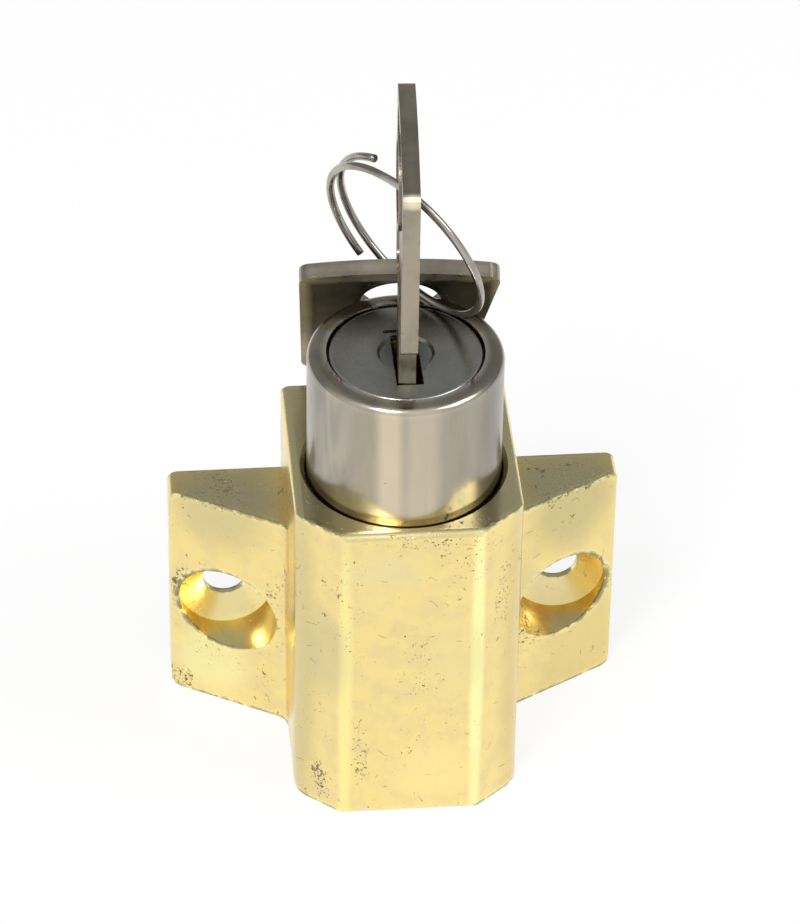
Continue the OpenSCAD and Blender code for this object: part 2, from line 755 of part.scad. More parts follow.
housing();
guide_pin();
plunger();
bolt_carrier();
bolt();
cross_pin();
return_spring();
lock_plug();
plug_face_cap();
retaining_clip();
drive_pin();
latch_slider();
wafer(1);  // wafer_1
wafer(2);  // wafer_2
wafer(3);  // wafer_3
wafer(4);  // wafer_4
wafer(5);  // wafer_5
wafer_spring(1);  // wafer_spring_1
wafer_spring(2);  // wafer_spring_2
wafer_spring(3);  // wafer_spring_3
wafer_spring(4);  // wafer_spring_4
wafer_spring(5);  // wafer_spring_5
inserted_key();
spare_key();
key_ring();
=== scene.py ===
"""Looks of a keyed plunger bolt for a sliding panel.

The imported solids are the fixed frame. This script gives each of them its finish, puts wound springs and a
round wire ring in the place of the plain ones, and sets up the light and the camera.
Lengths are in metres, written as millimetres times MM. The spots of the finishes alone are in millimetres.
"""
import logging
import math
from dataclasses import dataclass
from enum import Enum

import bpy
import numpy as np
from mathutils import Matrix, Vector


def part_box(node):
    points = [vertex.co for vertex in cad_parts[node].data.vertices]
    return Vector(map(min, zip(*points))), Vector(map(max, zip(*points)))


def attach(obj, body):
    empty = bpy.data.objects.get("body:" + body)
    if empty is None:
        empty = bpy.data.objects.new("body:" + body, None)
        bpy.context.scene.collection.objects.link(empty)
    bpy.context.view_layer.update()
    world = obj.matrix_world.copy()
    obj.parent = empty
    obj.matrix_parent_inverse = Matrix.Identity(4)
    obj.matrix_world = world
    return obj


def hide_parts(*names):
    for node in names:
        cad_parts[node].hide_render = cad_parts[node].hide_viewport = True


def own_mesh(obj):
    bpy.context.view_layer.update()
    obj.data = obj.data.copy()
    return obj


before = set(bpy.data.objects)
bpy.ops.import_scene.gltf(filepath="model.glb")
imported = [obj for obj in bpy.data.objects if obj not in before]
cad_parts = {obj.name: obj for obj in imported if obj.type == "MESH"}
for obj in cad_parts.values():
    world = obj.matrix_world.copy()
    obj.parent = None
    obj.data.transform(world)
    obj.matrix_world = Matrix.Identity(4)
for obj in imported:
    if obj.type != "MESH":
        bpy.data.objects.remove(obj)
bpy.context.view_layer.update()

LOG = logging.getLogger("bolt")
MM = 0.001
IMAGE_WIDTH = 800
# Y of the plunger's centre line
PLUNGER_Y = -14.9 * MM

Colour = tuple[float, float, float]
Place = tuple[float, float, float]
Socket = bpy.types.NodeSocket
GroupTree = bpy.types.ShaderNodeTree
ORIGIN: Place = (0.0, 0.0, 0.0)


class Body(Enum):
    """The rigid bodies of the frame that new pieces ride on."""

    HOUSING = "housing"
    PLUG = "plug"
    RING = "ring"


class Slot(Enum):
    """The material slots of the record, by name."""

    RING_STEEL = "ring_steel"
    STEEL = "steel"


def grey(value: float) -> Colour:
    """Returns a neutral colour of that linear value."""
    return (value, value, value)


def rgba(colour: Colour) -> tuple[float, float, float, float]:
    """Returns the colour with full opacity."""
    return (*colour, 1.0)


@dataclass
class NodeSheet:
    """A node tree that is filled from left to right.

    Attributes:
        tree: the tree that nodes are added to.
    """

    tree: bpy.types.NodeTree

    def add(self, kind: str, inputs: dict | None = None, **settings: object) -> bpy.types.Node:
        """Adds a node.

        Args:
            kind: the node's type name, without its ShaderNode prefix.
            inputs: for each input's name or number, a value or a socket to link from.
            settings: attributes of the node itself.

        Returns:
            The new node.
        """
        node = self.tree.nodes.new("ShaderNode" + kind)
        for name, value in settings.items():
            setattr(node, name, value)
        for name, value in (inputs or {}).items():
            self.feed(node.inputs[name], value)
        return node

    def feed(self, socket: Socket, value: object) -> None:
        """Sets an input.

        Args:
            socket: the input.
            value: a value to set on it, or a socket to link to it.
        """
        if isinstance(value, Socket):
            self.tree.links.new(value, socket)
        else:
            socket.default_value = value

    def use(self, effect: GroupTree, **inputs: object) -> bpy.types.bpy_prop_collection:
        """Places a shared effect with its own values and links, and returns its outputs."""
        return self.add("Group", inputs, node_tree=effect).outputs

    def math(self, operation: str, first: object, second: object, clamp: bool = False) -> Socket:
        """Returns the result of one arithmetic step on two values or sockets."""
        return self.add("Math", {0: first, 1: second}, operation=operation, use_clamp=clamp).outputs[0]

    def plus(self, first: object, second: object) -> Socket:
        """Returns the sum of two values or sockets."""
        return self.math("ADD", first, second)

    def minus(self, first: object, second: object) -> Socket:
        """Returns the difference of two values or sockets."""
        return self.math("SUBTRACT", first, second)

    def times(self, first: object, second: object, clamp: bool = False) -> Socket:
        """Returns the product of two values or sockets, kept between 0 and 1 if clamped."""
        return self.math("MULTIPLY", first, second, clamp)

    def over(self, first: object, second: object, clamp: bool = False) -> Socket:
        """Returns the quotient of two values or sockets, kept between 0 and 1 if clamped."""
        return self.math("DIVIDE", first, second, clamp)

    def highest(self, first: object, second: object) -> Socket:
        """Returns the larger of two values or sockets."""
        return self.math("MAXIMUM", first, second)

    def size_of(self, value: Socket) -> Socket:
        """Returns a number without its sign."""
        return self.math("ABSOLUTE", value, 0.0)

    def vector(self, operation: str, first: object, second: object = ORIGIN) -> Socket:
        """Returns the result of one arithmetic step on vectors."""
        return self.add("VectorMath", {0: first, 1: second}, operation=operation).outputs[0]

    def length(self, vector: Socket) -> Socket:
        """Returns a vector's length."""
        return self.add("VectorMath", {0: vector}, operation="LENGTH").outputs["Value"]

    def split(self, vector: Socket) -> bpy.types.bpy_prop_collection:
        """Returns a vector's three numbers, named X, Y and Z."""
        return self.add("SeparateXYZ", {0: vector}).outputs

    def remap(self, value: Socket, low: float, high: float, out_low: float = 0.0, out_high: float = 1.0,
              smooth: bool = False) -> Socket:
        """Maps a value from one range to another, clamped.

        Args:
            value: the socket that is mapped.
            low: the value that gives out_low.
            high: the value that gives out_high.
            out_low: the result at low.
            out_high: the result at high.
            smooth: whether the step between them is eased.

        Returns:
            The mapped value.
        """
        kind = "SMOOTHSTEP" if smooth else "LINEAR"
        ends = {"From Min": low, "From Max": high, "To Min": out_low, "To Max": out_high}
        return self.add("MapRange", {"Value": value, **ends}, interpolation_type=kind).outputs["Result"]

    def mix(self, factor: Socket, first: object, second: object) -> Socket:
        """Mixes two colours.

        Args:
            factor: the second colour's share.
            first: a colour or a socket.
            second: a colour or a socket.

        Returns:
            The mixed colour.
        """
        node = self.add("Mix", {"Factor": factor}, data_type="RGBA")
        for name, value in (("A", first), ("B", second)):
            socket = next(s for s in node.inputs if s.name == name and s.type == "RGBA")
            self.feed(socket, rgba(value) if isinstance(value, tuple) else value)
        return next(s for s in node.outputs if s.type == "RGBA")

    def noise(self, where: Socket, size: float | Socket, detail: float = 2.0, roughness: float = 0.5,
              distortion: float = 0.0) -> Socket:
        """Makes cloudy noise.

        Args:
            where: the place that it is read at.
            size: about how large its blotches are.
            detail: how many finer layers it has.
            roughness: how strong each finer layer is.
            distortion: how far the blotches are bent.

        Returns:
            The noise, from 0 to 1.
        """
        scale = self.over(1.0, size) if isinstance(size, Socket) else 1.0 / size
        node = self.add("TexNoise", {"Vector": where, "Scale": scale, "Detail": detail,
                                     "Roughness": roughness, "Distortion": distortion})
        return node.outputs["Fac"]

    def place(self) -> Socket:
        """Returns the place on the object, in metres."""
        return self.add("TexCoord").outputs["Object"]

    def stretched(self, where: Socket, scale: Place) -> Socket:
        """Returns the place scaled along X, Y and Z."""
        return self.add("Mapping", {"Vector": where, "Scale": scale}).outputs[0]

    def flattened(self, where: Socket) -> Socket:
        """Lays a place on whichever level or upright plane its face is nearest to.

        Args:
            where: the place.

        Returns:
            A vector whose X and Y are the coordinates on that plane. Each plane has its own shift, so that
            the patterns on neighbouring faces differ.
        """
        side_shift, level_shift = 0.37, 0.53
        facing = self.add("VectorTransform", {0: self.add("NewGeometry").outputs["True Normal"]},
                          vector_type="NORMAL", convert_from="WORLD", convert_to="OBJECT").outputs[0]
        share, at = self.split(self.vector("ABSOLUTE", facing)), self.split(where)
        sideways = self.math("GREATER_THAN", share["X"], self.highest(share["Y"], share["Z"]))
        level = self.math("GREATER_THAN", share["Z"], self.highest(share["X"], share["Y"]))
        across = self.add("Mix", {"Factor": sideways, 2: at["X"], 3: at["Y"]}).outputs[0]
        along = self.add("Mix", {"Factor": level, 2: at["Z"], 3: at["Y"]}).outputs[0]
        shift = self.plus(self.times(sideways, side_shift), self.times(level, level_shift))
        return self.add("CombineXYZ", {"X": self.plus(across, shift), "Y": along}).outputs[0]


class GroupSheet(NodeSheet):
    """A shader node group that is filled from its inputs to its outputs."""

    @classmethod
    def start(cls, name: str, **inputs: float | Place) -> "GroupSheet":
        """Starts a group.

        Args:
            name: the group's name.
            inputs: each input's default; a triple makes a vector input and a number a plain one.

        Returns:
            The sheet of the new group.
        """
        tree = bpy.data.node_groups.new(name, "ShaderNodeTree")
        for label, value in inputs.items():
            kind = "NodeSocketVector" if isinstance(value, tuple) else "NodeSocketFloat"
            tree.interface.new_socket(label, in_out="INPUT", socket_type=kind).default_value = value
        tree.nodes.new("NodeGroupInput")
        return cls(tree)

    def given(self, name: str) -> Socket:
        """Returns one of the group's inputs."""
        return self.tree.nodes["Group Input"].outputs[name]

    def finish(self, **results: Socket) -> GroupTree:
        """Ends the group.

        Args:
            results: the number that each output puts out.

        Returns:
            The finished group.
        """
        for label in results:
            self.tree.interface.new_socket(label, in_out="OUTPUT", socket_type="NodeSocketFloat")
        end = self.tree.nodes.new("NodeGroupOutput")
        for label, value in results.items():
            self.feed(end.inputs[label], value)
        return self.tree


class Effects:
    """The node groups that several finishes share, each built once."""

    def __init__(self) -> None:
        """Builds the groups."""
        self.edge_wear = self.build_edge_wear()
        self.pitting = self.build_pitting()
        self.scratches = self.build_scratches()
        self.spot = self.build_spot()
        self.field = self.build_field()
        self.ripple = self.build_ripple()
        self.turning = self.build_turning()

    @staticmethod
    def build_edge_wear() -> GroupTree:
        """Builds worn edges: where the solid is thin behind its surface, as at an edge, broken up by noise.

        Returns:
            A group that puts out the worn patches as Mask and the whole edges as Edge. Width is how deep
            it looks, Patch the size of a worn patch and Amount how much of the edges is worn.
        """
        # How open it is behind a flat face, and behind a sharp edge
        flat_open, edge_open = 0.97, 0.55
        # Where wear starts and is complete, and what the amount and the edge add to the noise
        worn_from, worn_full = 0.98, 1.08
        amount_weight, edge_weight = 0.5, 0.35
        sheet = GroupSheet.start("Edge wear", Place=ORIGIN, Width=0.9 * MM, Patch=1.2 * MM, Amount=0.5)
        behind = sheet.add("AmbientOcclusion", {"Distance": sheet.given("Width")}, inside=True, samples=8)
        edge = sheet.remap(behind.outputs["AO"], flat_open, edge_open)
        patches = sheet.noise(sheet.given("Place"), sheet.given("Patch"), detail=4.0, roughness=0.65)
        spread = sheet.plus(patches, sheet.times(sheet.given("Amount"), amount_weight))
        raised = sheet.plus(spread, sheet.times(edge, edge_weight))
        worn = sheet.times(edge, sheet.remap(raised, worn_from, worn_full))
        return sheet.finish(Mask=worn, Edge=edge)

    @staticmethod
    def build_pitting() -> GroupTree:
        """Builds pits: small and large specks where fine noise peaks, gathered where coarse noise is high.

        Returns:
            A group that puts out the pits as Mask. Size is that of the small pits, Spread that of their
            crowds and Amount their share; more of them gather where Stained is high.
        """
        # Noise where a pit starts, how steep its rim is, and the small pits' size over the large ones'
        small_level, large_level = 0.88, 0.82
        small_rim, large_rim = 22.0, 14.0
        small_over_large = 0.33
        # Coarse noise where a crowd starts and is complete, and how far each thing lowers the pits' start
        crowd_from, crowd_full = 0.42, 0.68
        amount_weight, crowd_weight, stain_weight = 0.2, 0.12, 0.13
        # How much less a crowd lowers the start of the large pits
        large_weight = 0.7
        sheet = GroupSheet.start("Pitting", Place=ORIGIN, Size=0.35 * MM, Spread=6.0 * MM, Amount=0.5,
                                 Stained=0.0)
        place, size = sheet.given("Place"), sheet.given("Size")
        lowered = sheet.times(sheet.given("Amount"), amount_weight)
        crowd = sheet.noise(place, sheet.given("Spread"))
        loose = sheet.remap(crowd, crowd_from, crowd_full, 0.0, crowd_weight)
        gathered = sheet.plus(loose, sheet.times(sheet.given("Stained"), stain_weight))
        fine = sheet.plus(sheet.noise(place, size, detail=3.0, roughness=0.6), gathered)
        small = sheet.times(sheet.minus(fine, sheet.minus(small_level, lowered)), small_rim, True)
        wide = sheet.noise(place, sheet.over(size, small_over_large), detail=4.0, roughness=0.7)
        rare = sheet.plus(wide, sheet.times(gathered, large_weight))
        large = sheet.times(sheet.minus(rare, sheet.minus(large_level, lowered)), large_rim, True)
        return sheet.finish(Mask=sheet.highest(small, large))

    @staticmethod
    def build_scratches() -> GroupTree:
        """Builds short scratches: one stroke in a share of the cells, each at its own angle and length.

        Returns:
            A group that puts out the strokes as Mask. Cell is the size of a cell, Share that of the cells
            with a stroke, and Width half a stroke's width. A wobble bends them, and they gather in crowds.
        """
        wobble_size, wobble_reach = 0.8 * MM, 0.25 * MM
        # Half a stroke's length over its cell, and how steep its ends and its sides are
        shortest, longest = 0.08, 0.45
        end_rim, side_rim = 3.0, 2.0
        # Noise where a crowd starts and is complete, and how many times the share it leaves there
        crowd_size, crowd_from, crowd_full = 9 * MM, 0.35, 0.65
        fewest, most = 0.2, 1.8
        sheet = GroupSheet.start("Scratches", Place=ORIGIN, Cell=2.2 * MM, Share=0.4, Width=0.06 * MM)
        place, cell = sheet.given("Place"), sheet.given("Cell")
        wobble = sheet.times(sheet.noise(place, wobble_size), wobble_reach)
        bent = sheet.vector("ADD", sheet.flattened(place), wobble)
        cells = sheet.add("TexVoronoi", {"Vector": bent, "Scale": sheet.over(1.0, cell)},
                          voronoi_dimensions="2D")
        chance = sheet.add("SeparateColor", {0: cells.outputs["Color"]}).outputs
        away = sheet.vector("SUBTRACT", bent, cells.outputs["Position"])
        angle = sheet.times(chance["Red"], 2 * math.pi)
        stroke = sheet.add("VectorRotate", {"Vector": away, "Angle": angle}, rotation_type="Z_AXIS")
        off = sheet.split(stroke.outputs[0])
        reach = sheet.times(cell, sheet.remap(chance["Green"], 0.0, 1.0, shortest, longest))
        length = sheet.minus(1.0, sheet.over(sheet.size_of(off["X"]), reach))
        width = sheet.minus(1.0, sheet.over(sheet.size_of(off["Y"]), sheet.given("Width")))
        line = sheet.times(sheet.times(length, end_rim, True), sheet.times(width, side_rim, True))
        crowd = sheet.remap(sheet.noise(place, crowd_size), crowd_from, crowd_full, fewest, most)
        drawn = sheet.math("LESS_THAN", chance["Blue"], sheet.times(sheet.given("Share"), crowd))
        return sheet.finish(Mask=sheet.times(line, drawn))

    @staticmethod
    def build_spot() -> GroupTree:
        """Builds a soft round or long spot: it fades with the distance from its middle over its reach.

        Returns:
            A group whose Mask is one round the middle and nothing past the reach.
        """
        # Share of the reach that the spot fills evenly
        solid_share = 0.35
        sheet = GroupSheet.start("Spot", Place=ORIGIN, Middle=ORIGIN, Reach=(1.0, 1.0, 1.0))
        away = sheet.vector("SUBTRACT", sheet.given("Place"), sheet.given("Middle"))
        far = sheet.length(sheet.vector("DIVIDE", away, sheet.given("Reach")))
        return sheet.finish(Mask=sheet.remap(far, solid_share, 1.0, 1.0, 0.0, True))

    @staticmethod
    def build_field() -> GroupTree:
        """Builds a sunk field: the inside of a box that is turned with its piece.

        Returns:
            A group whose Mask is one inside the box and fades to nothing at the box's faces. Middle and
            Turn place the box, Half is half its size and Soft the width of the fading.
        """
        sheet = GroupSheet.start("Sunk field", Place=ORIGIN, Middle=ORIGIN, Turn=ORIGIN, Half=(1.0, 1.0, 1.0),
                                 Soft=1.0 * MM)
        own = sheet.add("Mapping", {"Vector": sheet.given("Place"), "Location": sheet.given("Middle"),
                                    "Rotation": sheet.given("Turn")}, vector_type="TEXTURE").outputs[0]
        left = sheet.split(sheet.vector("SUBTRACT", sheet.given("Half"), sheet.vector("ABSOLUTE", own)))
        least = sheet.math("MINIMUM", left["X"], sheet.math("MINIMUM", left["Y"], left["Z"]))
        return sheet.finish(Mask=sheet.over(least, sheet.given("Soft"), True))

    @staticmethod
    def build_ripple() -> GroupTree:
        """Builds the soft unevenness of a plated surface.

        Returns:
            A group whose Height is slow swells with a finer skin on them.
        """
        swell_size, skin_size, skin_share = 5 * MM, 0.9 * MM, 0.12
        sheet = GroupSheet.start("Cast ripple", Place=ORIGIN)
        swell = sheet.noise(sheet.given("Place"), swell_size, detail=1.0)
        skin = sheet.noise(sheet.given("Place"), skin_size, roughness=0.6)
        return sheet.finish(Height=sheet.plus(swell, sheet.times(skin, skin_share)))

    @staticmethod
    def build_turning() -> GroupTree:
        """Builds turned grooves: noise that changes with the distance from the centre line alone.

        Returns:
            A group whose Height is the grooves, which wander slightly. Centre is a point on the centre
            line and Groove the grooves' width.
        """
        wander_size, wander_reach = 3 * MM, 0.05 * MM
        sheet = GroupSheet.start("Turning", Place=ORIGIN, Centre=ORIGIN, Groove=0.12 * MM)
        out = sheet.vector("SUBTRACT", sheet.given("Place"), sheet.given("Centre"))
        radius = sheet.length(sheet.vector("MULTIPLY", out, (1.0, 1.0, 0.0)))
        wander = sheet.times(sheet.noise(sheet.given("Place"), wander_size, detail=1.0), wander_reach)
        steps = sheet.over(sheet.plus(radius, wander), sheet.given("Groove"))
        line = sheet.add("CombineXYZ", {"X": steps}).outputs[0]
        return sheet.finish(Height=sheet.noise(line, size=1.0))


EFFECTS = Effects()


def new_material(name: str) -> tuple[bpy.types.Material, NodeSheet, bpy.types.Node]:
    """Starts a material.

    Args:
        name: the material's name.

    Returns:
        The material, a sheet on its tree and its Principled BSDF.
    """
    material = bpy.data.materials.new(name)
    material.use_nodes = True
    return material, NodeSheet(material.node_tree), material.node_tree.nodes["Principled BSDF"]


@dataclass(frozen=True)
class Spot:
    """A soft round or long spot on a piece, in millimetres.

    Attributes:
        middle: its middle.
        reach: how far it goes along X, Y and Z.
        colour: the colour laid there, the metal's own or painted light or shade, or none where only pits
            gather.
        strength: how strongly the colour shows at the middle, from 0 to 1.
    """

    middle: Place
    reach: Place
    colour: Colour | None = None
    strength: float = 1.0

    def mask(self, sheet: NodeSheet, place: Socket) -> Socket:
        """Returns the spot's mask in a material."""
        middle, reach = (tuple(MM * value for value in triple) for triple in (self.middle, self.reach))
        return sheet.use(EFFECTS.spot, Place=place, Middle=middle, Reach=reach)["Mask"]


# Share of the dirt's colour on worn edges and in scratches
EDGE_DIRT = 0.85
SCRATCH_DIRT = 0.45
# How metallic the middle of a pit is, and how much rougher a mark is
PIT_METAL = 0.45
MARK_ROUGHNESS = 0.4
# Height of the relief, and a mark's depth as a share of it
RELIEF = 0.05 * MM
MARK_DEPTH = 0.6
# Size of the smudges in the roughness, the noise values between which one comes up, and the least and the
# most that they leave of the shine
SMUDGE = 7 * MM
SMUDGE_FROM = 0.3
SMUDGE_FULL = 0.7
SMUDGE_LEAST = 0.85
SMUDGE_MOST = 1.25
# How much wider than its mask an edge is smooth
ROUNDING = 1.6
# Noise values between which a blotch of colour comes up
BLOTCH_FROM = 0.35
BLOTCH_FULL = 0.7


@dataclass(frozen=True)
class Finish:
    """A metal finish: its colours and how strongly it is worn.

    Attributes:
        name: the material's name.
        colour: the clean metal's linear colour.
        tint: a second colour that the clean metal drifts towards in soft blotches.
        dirt: the colour in pits, in scratches and on worn edges.
        shine: the clean metal's roughness.
        pits: the share of pits, from 0 to 1.
        wear: how much of the edges is worn, from 0 to 1.
        scratches: the share of places that have a scratch, from 0 to 1.
        ripple: the height of the surface's unevenness.
        blotch: the size of the colour's blotches.
        edge_rub_and_highlight_colour: lightened edges' colour, partly rubbed metal, partly painted highlight.
        edge_rub_and_highlight: how strongly edges are lightened so, from 0 to 1.
        polish: how much smoother than the rest the edges are, from 0 to 1.
        streak: how far the blotches are drawn out along Z; 1 leaves them round.
        spots: soft spots of another colour, some of them painted light or shade, and spots that pits gather
            in.
    """

    name: str
    colour: Colour
    tint: Colour
    dirt: Colour = (0.09, 0.08, 0.06)
    shine: float = 0.25
    pits: float = 0.4
    wear: float = 0.4
    scratches: float = 0.4
    ripple: float = 0.02 * MM
    blotch: float = 4 * MM
    edge_rub_and_highlight_colour: Colour = (1.0, 1.0, 1.0)
    edge_rub_and_highlight: float = 0.0
    polish: float = 0.3
    streak: float = 1.0
    spots: tuple[Spot, ...] = ()

    def material(self) -> bpy.types.Material:
        """Builds the finish.

        Returns:
            A metal whose colour drifts in blotches, with pits and worn edges in the dirt's colour,
            fine scratches and a slightly uneven surface.
        """
        material, sheet, shader = new_material(self.name)
        place = sheet.place()
        edges = sheet.use(EFFECTS.edge_wear, Place=place, Amount=self.wear)
        lines = sheet.use(EFFECTS.scratches, Place=place, Share=self.scratches)["Mask"]
        spoilt = sheet.highest(self.pit_mask(sheet, place), sheet.times(edges["Mask"], EDGE_DIRT))
        marked = sheet.highest(spoilt, sheet.times(lines, SCRATCH_DIRT))
        # Edges lightened towards a brighter colour: partly rubbed metal, partly a painted highlight
        bright = sheet.mix(sheet.times(edges["Edge"], self.edge_rub_and_highlight), self.colour_before_wear(sheet, place), self.edge_rub_and_highlight_colour)
        sheet.feed(shader.inputs["Base Color"], sheet.mix(marked, bright, self.dirt))
        sheet.feed(shader.inputs["Metallic"], sheet.remap(spoilt, 0.0, 1.0, 1.0, PIT_METAL))
        sheet.feed(shader.inputs["Roughness"], self.roughness(sheet, place, edges["Edge"], marked))
        sheet.feed(shader.inputs["Normal"], self.relief(sheet, place, marked))
        return material

    def pit_mask(self, sheet: NodeSheet, place: Socket) -> Socket:
        """Makes the pits, with more of them in the spots that have no colour.

        Args:
            sheet: the material's sheet.
            place: the place on the piece.

        Returns:
            The pits' mask.
        """
        stained: object = 0.0
        for spot in self.spots:
            if spot.colour is None:
                stained = sheet.highest(stained, spot.mask(sheet, place))
        return sheet.use(EFFECTS.pitting, Place=place, Amount=self.pits, Stained=stained)["Mask"]

    def colour_before_wear(self, sheet: NodeSheet, place: Socket) -> Socket:
        """Colours the metal before its wear: two colours in blotches, the painted dark field, then the spots
        in turn, some of which are painted light or shade.

        Args:
            sheet: the material's sheet.
            place: the place on the piece.

        Returns:
            The colour.
        """
        drawn = sheet.stretched(place, (1.0, 1.0, 1.0 / self.streak))
        clouds = sheet.noise(drawn, self.blotch, detail=3.0, roughness=0.55, distortion=0.4)
        drift = sheet.remap(clouds, BLOTCH_FROM, BLOTCH_FULL, smooth=True)
        clean = self.painted_shade_field(sheet, place, sheet.mix(drift, self.colour, self.tint))
        for spot in self.spots:
            if spot.colour is not None:
                shown = sheet.times(spot.mask(sheet, place), spot.strength)
                clean = sheet.mix(shown, clean, spot.colour)
        return clean

    def painted_shade_field(self, sheet: NodeSheet, place: Socket, clean: Socket) -> Socket:
        """Returns the clean metal's colour with the finish's own painted dark field; a plain finish has none.
        """
        return clean

    def roughness(self, sheet: NodeSheet, place: Socket, edge: Socket, marked: Socket) -> Socket:
        """Makes the roughness: the shine in smudges, smoother on the edges and rougher in the marks.

        Args:
            sheet: the material's sheet.
            place: the place on the piece.
            edge: the mask of the edges.
            marked: the mask of the pits, the wear and the scratches.

        Returns:
            The roughness, from 0 to 1.
        """
        smudge = sheet.remap(sheet.noise(place, SMUDGE, detail=3.0), SMUDGE_FROM, SMUDGE_FULL,
                             self.shine * SMUDGE_LEAST, self.shine * SMUDGE_MOST)
        smoothed = sheet.times(sheet.times(edge, ROUNDING, True), self.polish * self.shine)
        return sheet.math("ADD", sheet.minus(smudge, smoothed), sheet.times(marked, MARK_ROUGHNESS), True)

    def relief(self, sheet: NodeSheet, place: Socket, marked: Socket) -> Socket:
        """Makes the relief: the plating's ripple, with the marks sunk into it.

        Args:
            sheet: the material's sheet.
            place: the place on the piece.
            marked: the mask of the pits, the wear and the scratches.

        Returns:
            The bumped normal.
        """
        swell = sheet.use(EFFECTS.ripple, Place=place)["Height"]
        height = sheet.minus(sheet.times(swell, self.ripple / RELIEF), sheet.times(marked, MARK_DEPTH))
        return sheet.add("Bump", {"Strength": 1.0, "Distance": RELIEF, "Height": height}).outputs[0]


@dataclass(frozen=True)
class TurnedFinish(Finish):
    """A finish with turned grooves about an upright axis.

    Attributes:
        centre: a point on the axis.
        groove: the grooves' width.
        depth: the grooves' depth.
    """

    centre: Place = ORIGIN
    groove: float = 0.12 * MM
    depth: float = 0.002 * MM

    def relief(self, sheet: NodeSheet, place: Socket, marked: Socket) -> Socket:
        """Makes the relief: the grooves on top of the plain finish's ripple and marks.

        Args:
            sheet: the material's sheet.
            place: the place on the piece.
            marked: the mask of the pits, the wear and the scratches.

        Returns:
            The bumped normal.
        """
        below = super().relief(sheet, place, marked)
        rings = sheet.use(EFFECTS.turning, Place=place, Centre=self.centre, Groove=self.groove)["Height"]
        bump = sheet.add("Bump", {"Strength": 1.0, "Distance": self.depth, "Height": rings, "Normal": below})
        return bump.outputs[0]


@dataclass(frozen=True)
class KeyFinish(Finish):
    """A finish whose sunk field is darkened as painted shade, as on a key's flat side.

    Attributes:
        middle: the middle of the field, where the piece lies.
        turn: how the piece is turned, in degrees.
        half: half the field's size across, through and up the piece.
        dark: the colour of the painted shade.
        patch: the size of the patches where it is thinner.
        thinnest: its share of the colour in the middle of such a patch.
    """

    middle: Place = ORIGIN
    turn: Place = ORIGIN
    half: Place = (MM, MM, MM)
    dark: Colour = (0.05, 0.04, 0.025)
    patch: float = 4 * MM
    thinnest: float = 0.82

    def painted_shade_field(self, sheet: NodeSheet, place: Socket, clean: Socket) -> Socket:
        """Lays the dark field of painted shade over the clean metal, thinner in soft patches.

        Args:
            sheet: the material's sheet.
            place: the place on the piece.
            clean: the clean metal's colour.

        Returns:
            The colour with the field on it.
        """
        turn = tuple(math.radians(angle) for angle in self.turn)
        field = sheet.use(EFFECTS.field, Place=place, Middle=self.middle, Turn=turn, Half=self.half)["Mask"]
        clouds = sheet.noise(place, self.patch, detail=3.0)
        cover = sheet.remap(clouds, BLOTCH_FROM, BLOTCH_FULL, 1.0, self.thinnest)
        return sheet.mix(sheet.times(field, cover), clean, self.dark)


def tube_mesh(name: str, path: np.ndarray, radius: float, sides: int) -> bpy.types.Object:
    """Makes a tube along a path, closed at both ends.

    At each point of the path a circle lies square to the path's direction. Its first axis is the direction
    crossed with the line from the path's middle, so it turns as the path winds. Quads join each circle to
    the next, and a fan round its middle closes the first circle and the last.

    Args:
        name: the object's name.
        path: places of shape (n, 3).
        radius: the circle's radius.
        sides: points on the circle.

    Returns:
        The object, linked to the scene, with smooth faces that point outwards.
    """
    along = np.gradient(path, axis=0)
    along /= np.linalg.norm(along, axis=1, keepdims=True)
    across = np.cross(along, path - path.mean(0))
    across /= np.linalg.norm(across, axis=1, keepdims=True)
    outer = np.cross(across, along)
    angle = np.linspace(0, 2 * np.pi, sides, endpoint=False)[:, None]
    circles = path[:, None] + (np.cos(angle) * outer[:, None] + np.sin(angle) * across[:, None]) * radius
    rings = len(path)
    ring, side = np.meshgrid(np.arange(rings - 1), np.arange(sides), indexing="ij")
    here, there = ring * sides + side, ring * sides + (side + 1) % sides
    faces = np.stack([here, there, there + sides, here + sides], axis=-1).reshape(-1, 4).tolist()
    places = np.concatenate([circles.reshape(-1, 3), [circles[0].mean(0), circles[-1].mean(0)]])
    edge, following = np.arange(sides), (np.arange(sides) + 1) % sides
    first, last, top = rings * sides, rings * sides + 1, (rings - 1) * sides
    faces += np.stack([np.full(sides, first), following, edge], axis=-1).tolist()
    faces += np.stack([np.full(sides, last), top + edge, top + following], axis=-1).tolist()
    mesh = bpy.data.meshes.new(name)
    mesh.from_pydata(places.tolist(), [], faces)
    mesh.validate()
    mesh.shade_smooth()
    return show(name, mesh)


def show(name: str, data: bpy.types.ID) -> bpy.types.Object:
    """Links a new object to the scene.

    Args:
        name: the object's name.
        data: its mesh, lamp or camera.

    Returns:
        The object.
    """
    thing = bpy.data.objects.new(name, data)
    bpy.context.scene.collection.objects.link(thing)
    return thing


def helix(radius: float, low: float, high: float, start: float, sweep: float, count: int) -> np.ndarray:
    """Returns the points of a helix about Z: radius and angle give X and Y, and Z rises evenly.

    Args:
        radius: the helix's radius.
        low: height of its first point.
        high: height of its last point.
        start: angle of its first point, in degrees.
        sweep: angle that it goes through, in degrees.
        count: number of points.

    Returns:
        Places of shape (count, 3).
    """
    share = np.linspace(0, 1, count)
    angle = np.radians(start + sweep * share)
    return np.stack([radius * np.cos(angle), radius * np.sin(angle), low + (high - low) * share], axis=-1)


